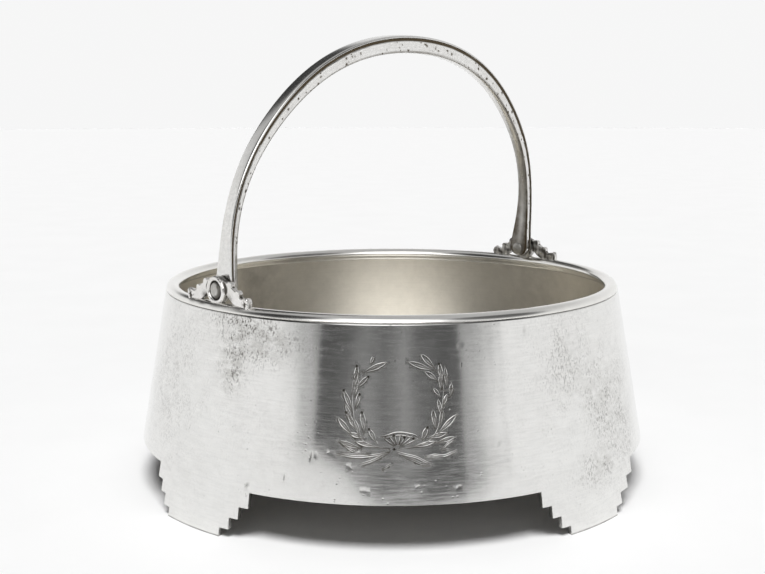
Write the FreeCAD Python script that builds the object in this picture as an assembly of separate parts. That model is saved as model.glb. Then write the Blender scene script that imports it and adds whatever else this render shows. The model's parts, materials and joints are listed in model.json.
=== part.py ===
"""Silver sugar bowl with a swing handle.

A shallow bowl of plated sheet, wider at its base than at its mouth, stands on four stepped feet
cut from the same sheet. A half-round rim closes the mouth. Two cast lugs stand on the rim on one
diagonal, and a riveted pin in each carries the arched bail.

Frame: millimetres, +Z up, origin on the table under the middle of the bowl. The engraved front
faces -Y. The bail's pivot line runs from front left (-X, -Y) to back right (+X, +Y).
"""
import FreeCAD, Part
import math
import os

from FreeCAD import Vector

os.makedirs("parts", exist_ok=True)

# ---------------------------------------------------------------- driving dimensions (mm, degrees)
APRON_RADIUS = 62.0        # outside of the wall at the lower edge between the feet
APRON_HEIGHT = 10.3        # that edge above the table
WALL_LEAN = 10.26          # the wall leans inward by this angle as it rises
SHEET = 1.1                # thickness of the wall sheet
WALL_TOP = 46.2            # where the wall ends and the rim begins

RIM_RADIUS = 53.75         # middle of the half-round rim
RIM_HALF_WIDTH = 1.7
SKIRT_DEPTH = 1.7          # sleeve of the rim inside the wall
SKIRT_THICKNESS = 0.55

FLOOR_TOP = 13.4           # inside bottom of the bowl
FLOOR_THICKNESS = 1.2
FLANGE_DEPTH = 2.4         # turned-down edge that is soldered to the wall
FLANGE_THICKNESS = 1.1

# The feet are a little uneven in place and width.
FOOT_BEARINGS = (45.0, 135.0, -133.1, -45.2)  # middle of each foot, turned from +X towards +Y
FOOT_HALF_ANGLES = (14.5, 12.3, 10.2, 8.0)   # half width of a foot, from its root down to its tip
SLANTED_FOOT = -45.2                         # this foot has one side cut at more of a slant
SLANTED_HALF_ANGLES = (16.9, 13.4, 9.7, 7.2)  # half width of that foot towards +X
STEP_HEIGHTS = (APRON_HEIGHT, 7.0, 4.4, 1.9)  # top of each of those four tiers above the table

PIVOT_HEIGHT = 50.4
PIVOT_BEARING = 45.0       # the pivot line, turned from +X towards +Y
LUG_INNER_FACE = 52.4      # distance of the lug's inner face from the bowl's axis
LUG_THICKNESS = 1.4
LUG_HALF_LENGTH = 11.0
LUG_FOOT = 46.9            # the lug is cast down to here and fitted over the rim
# Half of the lug's wavy crest, as distance across and drop below the top of its boss.
LUG_CREST = ((2.6, 0.6), (4.6, 1.5), (6.6, 2.7), (8.2, 3.9), (9.4, 3.7), (10.5, 3.7), (LUG_HALF_LENGTH, 4.7))
# Corners of a three-cornered window, as distance across and drop below the pivot.
LUG_WINDOW = ((3.6, 1.2), (6.4, 3.0), (2.9, 3.0))
BOSS_RADIUS = 3.2
BOSS_HEIGHT = 0.6          # the boss stands out of the lug's outer face
BOSS_RECESS_RADIUS = 2.15
BOSS_RECESS_DEPTH = 0.8

PIN_RADIUS = 0.9
PIN_CLEARANCE = 0.05       # radial, between the pin and the bail's eye
PIN_HEAD_RADIUS = 1.75
PIN_HEAD_HEIGHT = 0.55
PIN_DOME_HEIGHT = 0.35
RIVET_RADIUS = 1.5
RIVET_FACE_RADIUS = 0.9    # flat left by the hammer on the riveted end
RIVET_EDGE = 0.25          # straight edge between that flat's chamfer and the bail
RIVET_HEIGHT = 0.5
RIVET_GAP = 0.2            # between the riveted end and the bail

BAIL_LEAN = 6.5            # the bail stands this far forward of upright
BAIL_REACH = 52.1          # outer face of the bail at the pivot, from the bowl's axis
BAIL_RISE = 56.3           # top of the bail above the pivot
BAIL_SPRING = 8.0          # height above the pivot where the arch begins
BAIL_HAUNCH_REACH = 0.78   # a point on the arch's haunch, as shares of its reach and rise
BAIL_HAUNCH_RISE = 0.69
BAIL_END_THICKNESS = 2.2
BAIL_TOP_THICKNESS = 4.2
BAIL_END_HALF_WIDTH = 3.1
BAIL_HALF_WIDTH = 1.65
BAIL_TAPER_HEIGHT = 22.0   # the bail narrows up to here
BAIL_BEND_HALF_WIDTH = 2.4475   # a point half way along that hollow taper
BAIL_BEND_HEIGHT = 8.36
BAIL_SHOULDER_HEIGHT = 0.6      # the rounded end is widest here
BAIL_END_DROP = 2.2        # rounded end below the pivot

AXIS = Vector(0, 0, 1)
WALL_SLOPE = math.tan(math.radians(WALL_LEAN))
SHEET_ACROSS = SHEET / math.cos(math.radians(WALL_LEAN))
BAIL_FOOT = -BAIL_END_DROP - 1   # the arch is drawn down to here before its end is rounded


def wall_radius(height):
    """Outside radius of the leaning wall at a height."""
    return APRON_RADIUS - WALL_SLOPE * (height - APRON_HEIGHT)


def inner_radius(height):
    """Inside radius of the wall sheet at a height."""
    return wall_radius(height) - SHEET_ACROSS


def revolve(points):
    """Solid of revolution about the bowl's axis from (radius, height) points."""
    wire = Part.makePolygon([Vector(r, 0, z) for r, z in points + points[:1]])
    return Part.Face(wire).revolve(Vector(0, 0, 0), AXIS, 360)


def wedge(start, end, bottom, top):
    """Pie slice about the bowl's axis, from one bearing to another, reaching well outside the wall."""
    reach = 1.5 * APRON_RADIUS
    slice_ = Part.makeCylinder(reach, top - bottom, Vector(0, 0, bottom), AXIS, end - start)
    slice_.rotate(Vector(0, 0, 0), AXIS, start)
    return slice_


def make_wall():
    """Leaning wall sheet with four feet, each narrowing downwards in three steps."""
    sheet = revolve([
        (inner_radius(0), 0),
        (wall_radius(0), 0),
        (wall_radius(WALL_TOP), WALL_TOP),
        (inner_radius(WALL_TOP), WALL_TOP),
    ])
    keep = Part.makeCylinder(1.5 * APRON_RADIUS, WALL_TOP, Vector(0, 0, APRON_HEIGHT), AXIS)
    bottoms = STEP_HEIGHTS[1:] + (0,)
    for middle in FOOT_BEARINGS:
        far_side = SLANTED_HALF_ANGLES if middle == SLANTED_FOOT else FOOT_HALF_ANGLES
        for near, far, top, bottom in zip(FOOT_HALF_ANGLES, far_side, STEP_HEIGHTS, bottoms):
            keep = keep.fuse(wedge(middle - near, middle + far, bottom, top))
    return sheet.common(keep.removeSplitter()).removeSplitter()


def make_floor():
    """Flat bottom with a turned-down flange against the wall."""
    underside = FLOOR_TOP - FLOOR_THICKNESS
    flange_foot = FLOOR_TOP - FLANGE_DEPTH
    return revolve([
        (0, underside),
        (inner_radius(underside) - FLANGE_THICKNESS, underside),
        (inner_radius(flange_foot) - FLANGE_THICKNESS, flange_foot),
        (inner_radius(flange_foot), flange_foot),
        (inner_radius(FLOOR_TOP), FLOOR_TOP),
        (0, FLOOR_TOP),
    ])


def make_rim():
    """Half-round rim on the wall's top edge, with a short skirt inside the wall."""
    inner = RIM_RADIUS - RIM_HALF_WIDTH
    outer = RIM_RADIUS + RIM_HALF_WIDTH
    skirt_foot = WALL_TOP - SKIRT_DEPTH
    corners = [
        (outer, WALL_TOP),
        (inner_radius(WALL_TOP), WALL_TOP),
        (inner_radius(skirt_foot), skirt_foot),
        (inner_radius(skirt_foot) - SKIRT_THICKNESS, skirt_foot),
        (inner_radius(WALL_TOP) - SKIRT_THICKNESS, WALL_TOP),
        (inner, WALL_TOP),
    ]
    points = [Vector(r, 0, z) for r, z in corners]
    edges = [Part.LineSegment(a, b).toShape() for a, b in zip(points, points[1:])]
    crown = Vector(RIM_RADIUS, 0, WALL_TOP + RIM_HALF_WIDTH)
    edges.append(Part.Arc(points[-1], crown, points[0]).toShape())
    return Part.Face(Part.Wire(edges)).revolve(Vector(0, 0, 0), AXIS, 360)


def lug_outline():
    """Face of the pierced lug, drawn flat: across is along the rim and up is height."""
    top = PIVOT_HEIGHT + BOSS_RADIUS
    half = [Vector(0, top, 0)] + [Vector(across, top - drop, 0) for across, drop in LUG_CREST]
    left = [Vector(-p.x, p.y, 0) for p in reversed(half[1:])]
    crest = Part.BSplineCurve()
    crest.interpolate(left + half)
    foot = [Vector(side * LUG_HALF_LENGTH, LUG_FOOT, 0) for side in (1, -1)]
    ends = [half[-1]] + foot + [left[0]]
    edges = [crest.toShape()] + [Part.LineSegment(a, b).toShape() for a, b in zip(ends, ends[1:])]
    return Part.Face(Part.Wire(edges))


def lug_window(side):
    """Three-cornered piercing between the boss, one arm and the rim."""
    corners = [Vector(side * across, PIVOT_HEIGHT - drop, 0) for across, drop in LUG_WINDOW]
    return Part.Face(Part.makePolygon(corners + corners[:1]))


def make_lug(rim):
    """Cast lug at the end of +X, before it is turned to its bearing."""
    outline = lug_outline()
    for side in (-1, 1):
        outline = outline.cut(lug_window(side))
    plate = outline.extrude(Vector(0, 0, LUG_THICKNESS))
    boss = Part.makeCylinder(BOSS_RADIUS, LUG_THICKNESS + BOSS_HEIGHT, Vector(0, PIVOT_HEIGHT, 0))
    face = LUG_THICKNESS + BOSS_HEIGHT
    recess = Part.makeCylinder(
        BOSS_RECESS_RADIUS, BOSS_RECESS_DEPTH, Vector(0, PIVOT_HEIGHT, face - BOSS_RECESS_DEPTH))
    hole = Part.makeCylinder(PIN_RADIUS, face, Vector(0, PIVOT_HEIGHT, 0))
    lug = plate.fuse(boss).cut(recess).cut(hole)
    # The flat drawing stands up: across becomes +Y, up becomes +Z, thickness becomes +X.
    lug.rotate(Vector(0, 0, 0), Vector(1, 1, 1), 120)
    lug.translate(Vector(LUG_INNER_FACE, 0, 0))
    return lug.cut(rim)


def make_pin():
    """Pin at the end of +X: domed head in the boss, shaft, and a riveted inner end."""
    head_seat = LUG_INNER_FACE + LUG_THICKNESS + BOSS_HEIGHT - BOSS_RECESS_DEPTH
    head_rim = head_seat + PIN_HEAD_HEIGHT
    bail_inside = BAIL_REACH - BAIL_END_THICKNESS
    rivet_seat = bail_inside - RIVET_GAP
    points = [
        Vector(rivet_seat - RIVET_HEIGHT, 0, 0),
        Vector(rivet_seat - RIVET_HEIGHT, 0, RIVET_FACE_RADIUS),
        Vector(rivet_seat - RIVET_EDGE, 0, RIVET_RADIUS),
        Vector(rivet_seat, 0, RIVET_RADIUS),
        Vector(rivet_seat, 0, PIN_RADIUS),
        Vector(head_seat, 0, PIN_RADIUS),
        Vector(head_seat, 0, PIN_HEAD_RADIUS),
        Vector(head_rim, 0, PIN_HEAD_RADIUS),
        Vector(head_rim + PIN_DOME_HEIGHT, 0, 0),
    ]
    edges = [Part.LineSegment(a, b).toShape() for a, b in zip(points[:8], points[1:8])]
    dome_radius = (PIN_HEAD_RADIUS ** 2 + PIN_DOME_HEIGHT ** 2) / (2 * PIN_DOME_HEIGHT)
    dome_centre = head_rim + PIN_DOME_HEIGHT - dome_radius
    half_way = 0.5 * math.asin(PIN_HEAD_RADIUS / dome_radius)
    dome_middle = Vector(
        dome_centre + dome_radius * math.cos(half_way), 0, dome_radius * math.sin(half_way))
    edges.append(Part.Arc(points[7], dome_middle, points[8]).toShape())
    edges.append(Part.LineSegment(points[8], points[0]).toShape())
    pin = Part.Face(Part.Wire(edges)).revolve(Vector(0, 0, 0), Vector(1, 0, 0), 360)
    pin.translate(Vector(0, 0, PIVOT_HEIGHT))
    return pin


def arch_edges(reach, rise):
    """Half of an arch about the pivot line: a straight leg, then a fair curve to the top."""
    leg_foot = Vector(reach, 0, BAIL_FOOT)
    leg_top = Vector(reach, 0, BAIL_SPRING)
    crown = Vector(0, 0, rise)
    haunch = Vector(BAIL_HAUNCH_REACH * reach, 0, BAIL_HAUNCH_RISE * rise)
    curve = Part.BSplineCurve()
    curve.interpolate(
        [leg_top, haunch, crown], InitialTangent=Vector(0, 0, 1), FinalTangent=Vector(-1, 0, 0))
    return [Part.LineSegment(leg_foot, leg_top).toShape(), curve.toShape()]


def make_bail():
    """Arched bail, widening towards its rounded ends, with an eye for each pin."""
    inner_reach = BAIL_REACH - BAIL_END_THICKNESS
    inner_rise = BAIL_RISE - BAIL_TOP_THICKNESS
    outer = arch_edges(BAIL_REACH, BAIL_RISE)
    inner = arch_edges(inner_reach, inner_rise)
    bottom = Part.LineSegment(
        Vector(inner_reach, 0, BAIL_FOOT), Vector(BAIL_REACH, 0, BAIL_FOOT)).toShape()
    crown = Part.LineSegment(Vector(0, 0, inner_rise), Vector(0, 0, BAIL_RISE)).toShape()
    side = Part.Face(Part.Wire(Part.__sortEdges__(outer + inner + [bottom, crown])))
    depth = 2 * BAIL_END_HALF_WIDTH
    slab = side.extrude(Vector(0, 2 * depth, 0))
    slab.translate(Vector(0, -depth, 0))
    half = slab.common(bail_width_profile())
    bail = half.fuse(half.mirror(Vector(0, 0, 0), Vector(1, 0, 0))).removeSplitter()
    eye = Part.makeCylinder(
        PIN_RADIUS + PIN_CLEARANCE, 4 * BAIL_REACH, Vector(-2 * BAIL_REACH, 0, 0), Vector(1, 0, 0))
    bail = bail.cut(eye)
    # Leaning forward turns the bail about its pivot line.
    bail.rotate(Vector(0, 0, 0), Vector(1, 0, 0), BAIL_LEAN)
    bail.translate(Vector(0, 0, PIVOT_HEIGHT))
    return bail


def bail_width_profile():
    """Bail seen along its pivot line: rounded end, a taper, then an even strip to the top."""
    top = BAIL_RISE + 1
    waist = Vector(0, BAIL_HALF_WIDTH, BAIL_TAPER_HEIGHT)
    shoulder = Vector(0, BAIL_END_HALF_WIDTH, BAIL_SHOULDER_HEIGHT)
    bend = Vector(0, BAIL_BEND_HALF_WIDTH, BAIL_BEND_HEIGHT)
    end = Vector(0, 0, -BAIL_END_DROP)

    def other(point):
        return Vector(0, -point.y, point.z)

    taper = Part.Arc(shoulder, bend, waist).toShape()
    other_taper = Part.Arc(other(waist), other(bend), other(shoulder)).toShape()
    corner = Vector(0, BAIL_HALF_WIDTH, top)
    upper = Part.makePolygon([waist, corner, other(corner), other(waist)])
    tip = Part.Arc(other(shoulder), end, shoulder).toShape()
    profile = Part.Face(Part.Wire([taper] + upper.Edges + [other_taper, tip]))
    return profile.extrude(Vector(2 * BAIL_REACH, 0, 0))


def placed(shape, turn):
    """A piece built at the end of +X, turned about the bowl's axis to its bearing."""
    copy = shape.copy()
    copy.rotate(Vector(0, 0, 0), AXIS, turn)
    return copy


rim_band = make_rim()
lug = make_lug(rim_band)
pin = make_pin()

pieces = {
    "bowl_wall": make_wall(),
    "bowl_floor": make_floor(),
    "rim_band": rim_band,
    "bail_handle": placed(make_bail(), PIVOT_BEARING),
}
for side, turn in (("right", PIVOT_BEARING), ("left", PIVOT_BEARING + 180)):
    pieces["hinge_lug_" + side] = placed(lug, turn)
    pieces["hinge_pin_" + side] = placed(pin, turn)

for name, shape in pieces.items():
    solid = shape.Solids[0]
    print(name, len(shape.Solids), solid.isValid(), round(solid.Volume, 1))
    solid.exportStep("parts/" + name + ".step")
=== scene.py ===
"""Silver sugar bowl: its looks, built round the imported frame.

Blender objects are in metres. The shapes are drawn in millimetres and scaled in add_piece(). The lugs stay
in millimetres while they are melted together, and are scaled when they are put in place.
On the wall, s is the distance along the outside from the middle of the front, towards +X, at radius
ARC_RADIUS, and z is the height above the table.
"""
import json
import math

import bmesh
import bpy
import numpy as np
from mathutils import Matrix, Vector
from mathutils.geometry import delaunay_2d_cdt


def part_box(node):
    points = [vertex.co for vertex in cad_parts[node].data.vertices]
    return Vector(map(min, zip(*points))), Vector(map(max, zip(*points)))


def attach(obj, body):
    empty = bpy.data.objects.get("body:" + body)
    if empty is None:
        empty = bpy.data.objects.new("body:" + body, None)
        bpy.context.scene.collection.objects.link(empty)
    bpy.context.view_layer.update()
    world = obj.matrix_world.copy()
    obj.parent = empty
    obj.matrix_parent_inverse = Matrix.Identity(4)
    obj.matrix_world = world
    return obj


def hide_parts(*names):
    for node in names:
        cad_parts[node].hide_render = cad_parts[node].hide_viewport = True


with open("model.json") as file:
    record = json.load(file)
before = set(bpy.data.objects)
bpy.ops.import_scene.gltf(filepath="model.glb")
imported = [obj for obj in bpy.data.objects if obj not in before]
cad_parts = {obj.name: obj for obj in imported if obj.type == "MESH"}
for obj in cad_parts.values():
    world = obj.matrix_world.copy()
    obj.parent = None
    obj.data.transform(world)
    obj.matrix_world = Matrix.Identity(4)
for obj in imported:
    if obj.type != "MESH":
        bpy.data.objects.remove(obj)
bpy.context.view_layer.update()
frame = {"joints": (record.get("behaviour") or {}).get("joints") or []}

MM = 0.001
SCENE = bpy.context.scene

# ---- places and sizes from the frame (mm)
WALL_BOX = [Vector(c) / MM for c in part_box("bowl_wall")]
RIM_BOX = [Vector(c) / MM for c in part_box("rim_band")]
FLOOR_BOX = [Vector(c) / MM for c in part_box("bowl_floor")]
HINGE = frame["joints"][0]
PIVOT_HEIGHT = HINGE["pos_m"][2] / MM
BEARING = math.atan2(HINGE["axis"][1], HINGE["axis"][0])

APRON_RADIUS = WALL_BOX[1].x
WALL_TOP = WALL_BOX[1].z
APRON_HEIGHT = 10.3
WALL_LEAN = math.radians(10.26)
WALL_SLOPE = math.tan(WALL_LEAN)
SHEET = 1.1 / math.cos(WALL_LEAN)     # level thickness of the leaning wall
FOOT_BEARINGS = (45.0, 135.0, -133.1, -45.2)
FOOT_HALF_ANGLES = (14.5, 12.3, 10.2, 8.0)
SLANTED_FOOT = -45.2
SLANTED_HALF_ANGLES = (16.9, 13.4, 9.7, 7.2)
STEP_HEIGHTS = (10.3, 7.0, 4.4, 1.9, 0.0)
ARC_RADIUS = 58.0

RIM_HALF_WIDTH = RIM_BOX[1].z - WALL_TOP
RIM_RADIUS = RIM_BOX[1].x - RIM_HALF_WIDTH
FLOOR_TOP = FLOOR_BOX[1].z
FLOOR_THICKNESS = 1.2

LUG_FACE = 52.4           # inner face of each lug, out from the middle
LUG_THICKNESS = 1.4
LUG_FOOT = 46.95          # lower edge of each lug above the table
BOSS_RADIUS = 3.2
BOSS_HEIGHT = 0.6
BOSS_RECESS_DEPTH = 0.8
BAIL_END_THICKNESS = 2.2
BAIL_TOP_THICKNESS = 4.2
BAIL_HALF_WIDTH = 1.65
BAIL_SHOULDER = 0.6       # the rounded end is widest at this height above the pivot
BAIL_TAPER_TOP = 22.0     # the legs narrow up to this height above the pivot
BAIL_REACH = 52.1         # outer face of the legs, out from the middle
BAIL_RISE = 56.3
BAIL_SPRING = 8.0         # the arch begins at this height above the pivot
BAIL_END = -2.2           # lowest point of the legs, from the pivot
BAIL_LEAN = math.radians(6.5)


# ---- mesh helpers
def add_piece(name, verts, faces, body=None, material=None, smooth_angle=35):
    """Blender mesh object from points in millimetres."""
    mesh = bpy.data.meshes.new(name)
    mesh.from_pydata([tuple(v) for v in np.asarray(verts, float) * MM], [], [tuple(f) for f in faces])
    mesh.validate()
    piece = bpy.data.objects.new(name, mesh)
    SCENE.collection.objects.link(piece)
    finish_mesh(piece, smooth_angle)
    if material:
        mesh.materials.append(material)
    if body:
        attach(piece, body)
    return piece


def finish_mesh(piece, smooth_angle):
    mesh = piece.data
    mesh.shade_smooth()
    mesh.set_sharp_from_angle(angle=math.radians(smooth_angle))
    mesh.update()


def face_outward(piece):
    work = bmesh.new()
    work.from_mesh(piece.data)
    bmesh.ops.recalc_face_normals(work, faces=work.faces)
    work.to_mesh(piece.data)
    work.free()


def apply_modifiers(piece):
    """Bakes the piece's modifiers into its mesh."""
    bpy.context.view_layer.update()
    graph = bpy.context.evaluated_depsgraph_get()
    made = bpy.data.meshes.new_from_object(piece.evaluated_get(graph))
    old = piece.data
    piece.modifiers.clear()
    piece.data = made
    bpy.data.meshes.remove(old)


def cos_sin(degrees):
    return math.cos(math.radians(degrees)), math.sin(math.radians(degrees))


def share_of(value, width):
    """0 below zero, rising evenly to 1 where the value reaches the width."""
    return np.clip(value / width, 0, 1)


def ripple(points, seed, wavelength, count=14):
    """Smooth random waves at the points (an n by 3 array), between about -1 and 1."""
    rng = np.random.default_rng(seed)
    total = np.zeros(len(points))
    for _ in range(count):
        direction = rng.normal(size=3)
        direction /= np.linalg.norm(direction)
        length = wavelength * rng.uniform(0.6, 1.7)
        total += np.sin(points @ direction * 2 * math.pi / length + rng.uniform(0, 2 * math.pi))
    return total / math.sqrt(count) / 1.6


def lathe(profile, segments, closed=True):
    """Points and quads of a ring drawn by (radius, z) points."""
    count = len(profile)
    angles = np.arange(segments) * 2 * math.pi / segments
    r, z = np.array(profile, float).T
    verts = np.stack([
        np.outer(np.cos(angles), r), np.outer(np.sin(angles), r), np.tile(z, (segments, 1))], -1)
    faces = []
    steps = count if closed else count - 1
    for i in range(segments):
        here, after = i * count, (i + 1) % segments * count
        for k in range(steps):
            n = (k + 1) % count
            faces.append((here + k, after + k, after + n, here + n))
    return verts.reshape(-1, 3), faces


def placed(radius, height, offsets):
    """Profile points at offsets from a radius and a height."""
    return [(radius + r, height + z) for r, z in offsets]


def round_points(centre, radius, start, end, count):
    """Points on an arc in the (radius, z) plane, angles in degrees."""
    return [(centre[0] + radius * math.cos(math.radians(a)), centre[1] + radius * math.sin(math.radians(a)))
            for a in np.linspace(start, end, count)]


# ---- material helpers
def new_material(name):
    material = bpy.data.materials.new(name)
    material.use_nodes = True
    return material, material.node_tree, material.node_tree.nodes["Principled BSDF"]


def node(tree, kind, inputs=None, **settings):
    """A shader node. An input may be a number, a colour or another node's output."""
    made = tree.nodes.new("ShaderNode" + kind)
    for key, value in settings.items():
        setattr(made, key, value)
    for key, value in (inputs or {}).items():
        if isinstance(value, bpy.types.NodeSocket):
            tree.links.new(value, made.inputs[key])
        else:
            made.inputs[key].default_value = value
    return made


def noise(tree, place, scale, stretch=(1, 1, 1), detail=4.0, rough=0.55, turn=(0, 0, 0)):
    """Noise with the given number of waves per metre along each stretched axis."""
    mapping = node(tree, "Mapping", {"Vector": place, "Rotation": turn,
                                     "Scale": tuple(scale * k for k in stretch)})
    made = node(tree, "TexNoise", {"Vector": mapping.outputs[0], "Scale": 1.0, "Detail": detail,
                                   "Roughness": rough})
    return made.outputs["Fac"]


def ramp(tree, value, stops, interpolation="LINEAR"):
    """Colour ramp with (position, grey or colour) stops."""
    made = node(tree, "ValToRGB", {"Fac": value})
    made.color_ramp.interpolation = interpolation
    elements = made.color_ramp.elements
    while len(elements) < len(stops):
        elements.new(0.5)
    for element, (position, colour) in zip(elements, stops):
        element.position = position
        element.color = (*colour, 1) if hasattr(colour, "__len__") else (colour, colour, colour, 1)
    return made.outputs["Color"]


def math_node(tree, operation, a, b=0.0, clamp=False):
    return node(tree, "Math", {0: a, 1: b}, operation=operation, use_clamp=clamp).outputs[0]


def times_plus(tree, value, factor, extra):
    return node(tree, "Math", {0: value, 1: factor, 2: extra}, operation="MULTIPLY_ADD").outputs[0]


def times(tree, a, b, clamp=False):
    return math_node(tree, "MULTIPLY", a, b, clamp)


def darken(tree, colour, by):
    """The colour multiplied by another colour or tone."""
    return mix_colour(tree, 1.0, colour, by, "MULTIPLY")


def mix_colour(tree, share, a, b, blend="MIX"):
    made = node(tree, "Mix", data_type="RGBA", blend_type=blend)
    for socket, value in zip((made.inputs[0], made.inputs[6], made.inputs[7]), (share, a, b)):
        if isinstance(value, bpy.types.NodeSocket):
            tree.links.new(value, socket)
        else:
            socket.default_value = value
    return made.outputs[2]


def bump(tree, height, distance, strength=1.0, normal=None):
    inputs = {"Height": height, "Distance": distance, "Strength": strength}
    if normal is not None:
        inputs["Normal"] = normal
    return node(tree, "Bump", inputs).outputs[0]


def object_place(tree):
    return node(tree, "TexCoord").outputs["Object"]


def attribute(tree, name, output="Fac"):
    return node(tree, "Attribute", attribute_name=name).outputs[output]


def put_attribute(piece, name, values):
    made = piece.data.attributes.new(name, "FLOAT", "POINT")
    made.data.foreach_set("value", np.asarray(values, np.float32))


def put_vector(piece, name, values):
    made = piece.data.attributes.new(name, "FLOAT_VECTOR", "POINT")
    made.data.foreach_set("vector", np.asarray(values, np.float32).ravel())


# ---- silver
def silver(name, clean, dull, rough_low, rough_high, place=None, streak_turn=(0, 0, 0),
           streak_scale=2300, streak_long=0.016, streak_rough=0.0, streak_tone=0.0, streak_bump=0.0,
           blotch_scale=30, mottle=0.05, pits=0.0, wear=None, tarnish_and_shade=None,
           tarnish_and_shade_colour=(0.10, 0.092, 0.08, 1)):
    """Old silver: tone blotches, drawn polishing lines and pits, with dark scratches where the wear
    attribute says, and dark recesses, partly tarnish and partly painted shade, where the darkening attribute
    says."""
    material, tree, shader = new_material(name)
    shader.inputs["Metallic"].default_value = 1.0
    at = object_place(tree) if place is None else attribute(tree, place, "Vector")
    cloud = noise(tree, at, blotch_scale * 9, detail=6, rough=0.7)
    tone = ramp(tree, noise(tree, at, blotch_scale, detail=5, rough=0.6), [(0.34, dull), (0.62, clean)])
    fine = ramp(tree, cloud, [(0.30, 1.0 - mottle), (0.62, 1.0)])
    colour = darken(tree, tone, fine)
    lines = noise(tree, at, streak_scale, (streak_long, streak_long, 1.0), 4, 0.65, streak_turn)
    drawn = ramp(tree, lines, [(0.40, 0.0), (0.70, 1.0)])
    if streak_tone:
        colour = darken(tree, colour, ramp(tree, lines, [(0.30, 1.0 - streak_tone), (0.60, 1.0)]))
    rough = times_plus(tree, cloud, rough_high - rough_low, rough_low)
    if streak_rough:
        rough = times_plus(tree, drawn, streak_rough, rough)
    normal = bump(tree, lines, 0.00005 * streak_bump) if streak_bump else None
    if pits:
        cells = node(tree, "Mapping", {"Vector": at, "Scale": (900, 900, 900)}).outputs[0]
        dots = node(tree, "TexVoronoi", {"Vector": cells, "Scale": 1.0}).outputs["Distance"]
        rare = ramp(tree, noise(tree, at, 240, detail=2), [(0.56, 0.0), (0.66, pits)])
        hole = times(tree, ramp(tree, dots, [(0.06, 1.0), (0.24, 0.0)]), rare)
        colour = mix_colour(tree, hole, colour, (0.16, 0.15, 0.135, 1))
        normal = bump(tree, times(tree, hole, -1.0), 0.00005, 0.7, normal)
    if wear:
        mask = attribute(tree, wear)
        patches = noise(tree, at, 190, detail=5, rough=0.7)
        where = ramp(tree, patches, [(0.40, 0.0), (0.56, 1.0)])
        hair = noise(tree, at, 2900, (1.0, 1.0, 0.45), 2, 0.5, (0.9, 0.5, 0.2))
        cross = noise(tree, at, 2600, (0.5, 0.5, 1.0), 3, 0.6, (-0.6, 0.5, 0.1))
        cuts = math_node(tree, "MAXIMUM", ramp(tree, hair, [(0.53, 0.0), (0.60, 1.0)]),
                         ramp(tree, cross, [(0.58, 0.0), (0.66, 0.8)]))
        there = times(tree, where, mask)
        stain = ramp(tree, noise(tree, at, 420, (1, 1, 1.6), 6, 0.75), [(0.38, 0.0), (0.64, 0.60)])
        colour = mix_colour(tree, times(tree, stain, mask), colour, (0.40, 0.39, 0.365, 1))
        share = times(tree, cuts, there, True)
        colour = mix_colour(tree, share, colour, (0.15, 0.14, 0.13, 1))
        rough = times_plus(tree, mask, 0.14, rough)
    # Tarnish, and painted shade in recesses, creases, under parts and on shaded sides, from the darkening
    # attribute.
    if tarnish_and_shade:
        deep = attribute(tree, tarnish_and_shade)
        uneven = ramp(tree, noise(tree, at, 260, detail=6, rough=0.6), [(0.30, 0.60), (0.60, 1.0)])
        deep = times(tree, deep, uneven, True)
        colour = mix_colour(tree, deep, colour, tarnish_and_shade_colour)
        rough = times_plus(tree, deep, 0.25, rough)
    tree.links.new(colour, shader.inputs["Base Color"])
    tree.links.new(rough, shader.inputs["Roughness"])
    if normal is not None:
        tree.links.new(normal, shader.inputs["Normal"])
    return material


SILVER_WALL = silver("silver_wall", (0.87, 0.867, 0.85), (0.835, 0.83, 0.812), 0.06, 0.12,
                     streak_rough=0.065, streak_long=0.09, streak_tone=0.08, streak_bump=0.012,
                     wear="wear", pits=0.35,
                     tarnish_and_shade="tarnish_and_shade")
SILVER_INSIDE = silver("silver_inside", (0.89, 0.862, 0.80), (0.84, 0.805, 0.735), 0.29, 0.36,
                       streak_rough=0.04, streak_tone=0.035, mottle=0.09, tarnish_and_shade="tarnish_and_shade")
SILVER_RIM = silver("silver_rim", (0.89, 0.88, 0.855), (0.83, 0.82, 0.79), 0.12, 0.20, tarnish_and_shade="tarnish_and_shade")
SILVER_CAST = silver("silver_cast", (0.88, 0.865, 0.845), (0.78, 0.765, 0.735), 0.16, 0.30, pits=0.6,
                     blotch_scale=240, mottle=0.12, tarnish_and_shade="tarnish_and_shade")
SILVER_PIN = silver("silver_pin", (0.74, 0.73, 0.70), (0.60, 0.585, 0.555), 0.22, 0.38, pits=0.7,
                    blotch_scale=380, mottle=0.2, tarnish_and_shade="tarnish_and_shade")
SILVER_BAIL = silver("silver_bail", (0.88, 0.873, 0.855), (0.81, 0.80, 0.775), 0.12, 0.20, place="grain",
                     streak_turn=(0, math.pi / 2, 0), streak_rough=0.08, streak_tone=0.10, blotch_scale=130,
                     mottle=0.18, pits=0.7, tarnish_and_shade="tarnish_and_shade", tarnish_and_shade_colour=(0.085, 0.066, 0.042, 1))


# ---- bowl wall
def wall_radius(z):
    return APRON_RADIUS - WALL_SLOPE * (z - APRON_HEIGHT)


def along_wall(points):
    """The s of each point, from its place round the bowl."""
    return np.arctan2(points[:, 0], -points[:, 1]) * ARC_RADIUS


def steps(breaks, pitch):
    """Sorted lines through all the breaks, with gaps no wider than pitch(middle of the gap)."""
    lines = []
    for a, b in zip(breaks, breaks[1:]):
        count = max(1, math.ceil((b - a) / pitch(0.5 * (a + b)) - 1e-9))
        lines.extend(np.linspace(a, b, count, endpoint=False))
    return np.array(lines + [breaks[-1]])


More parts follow.
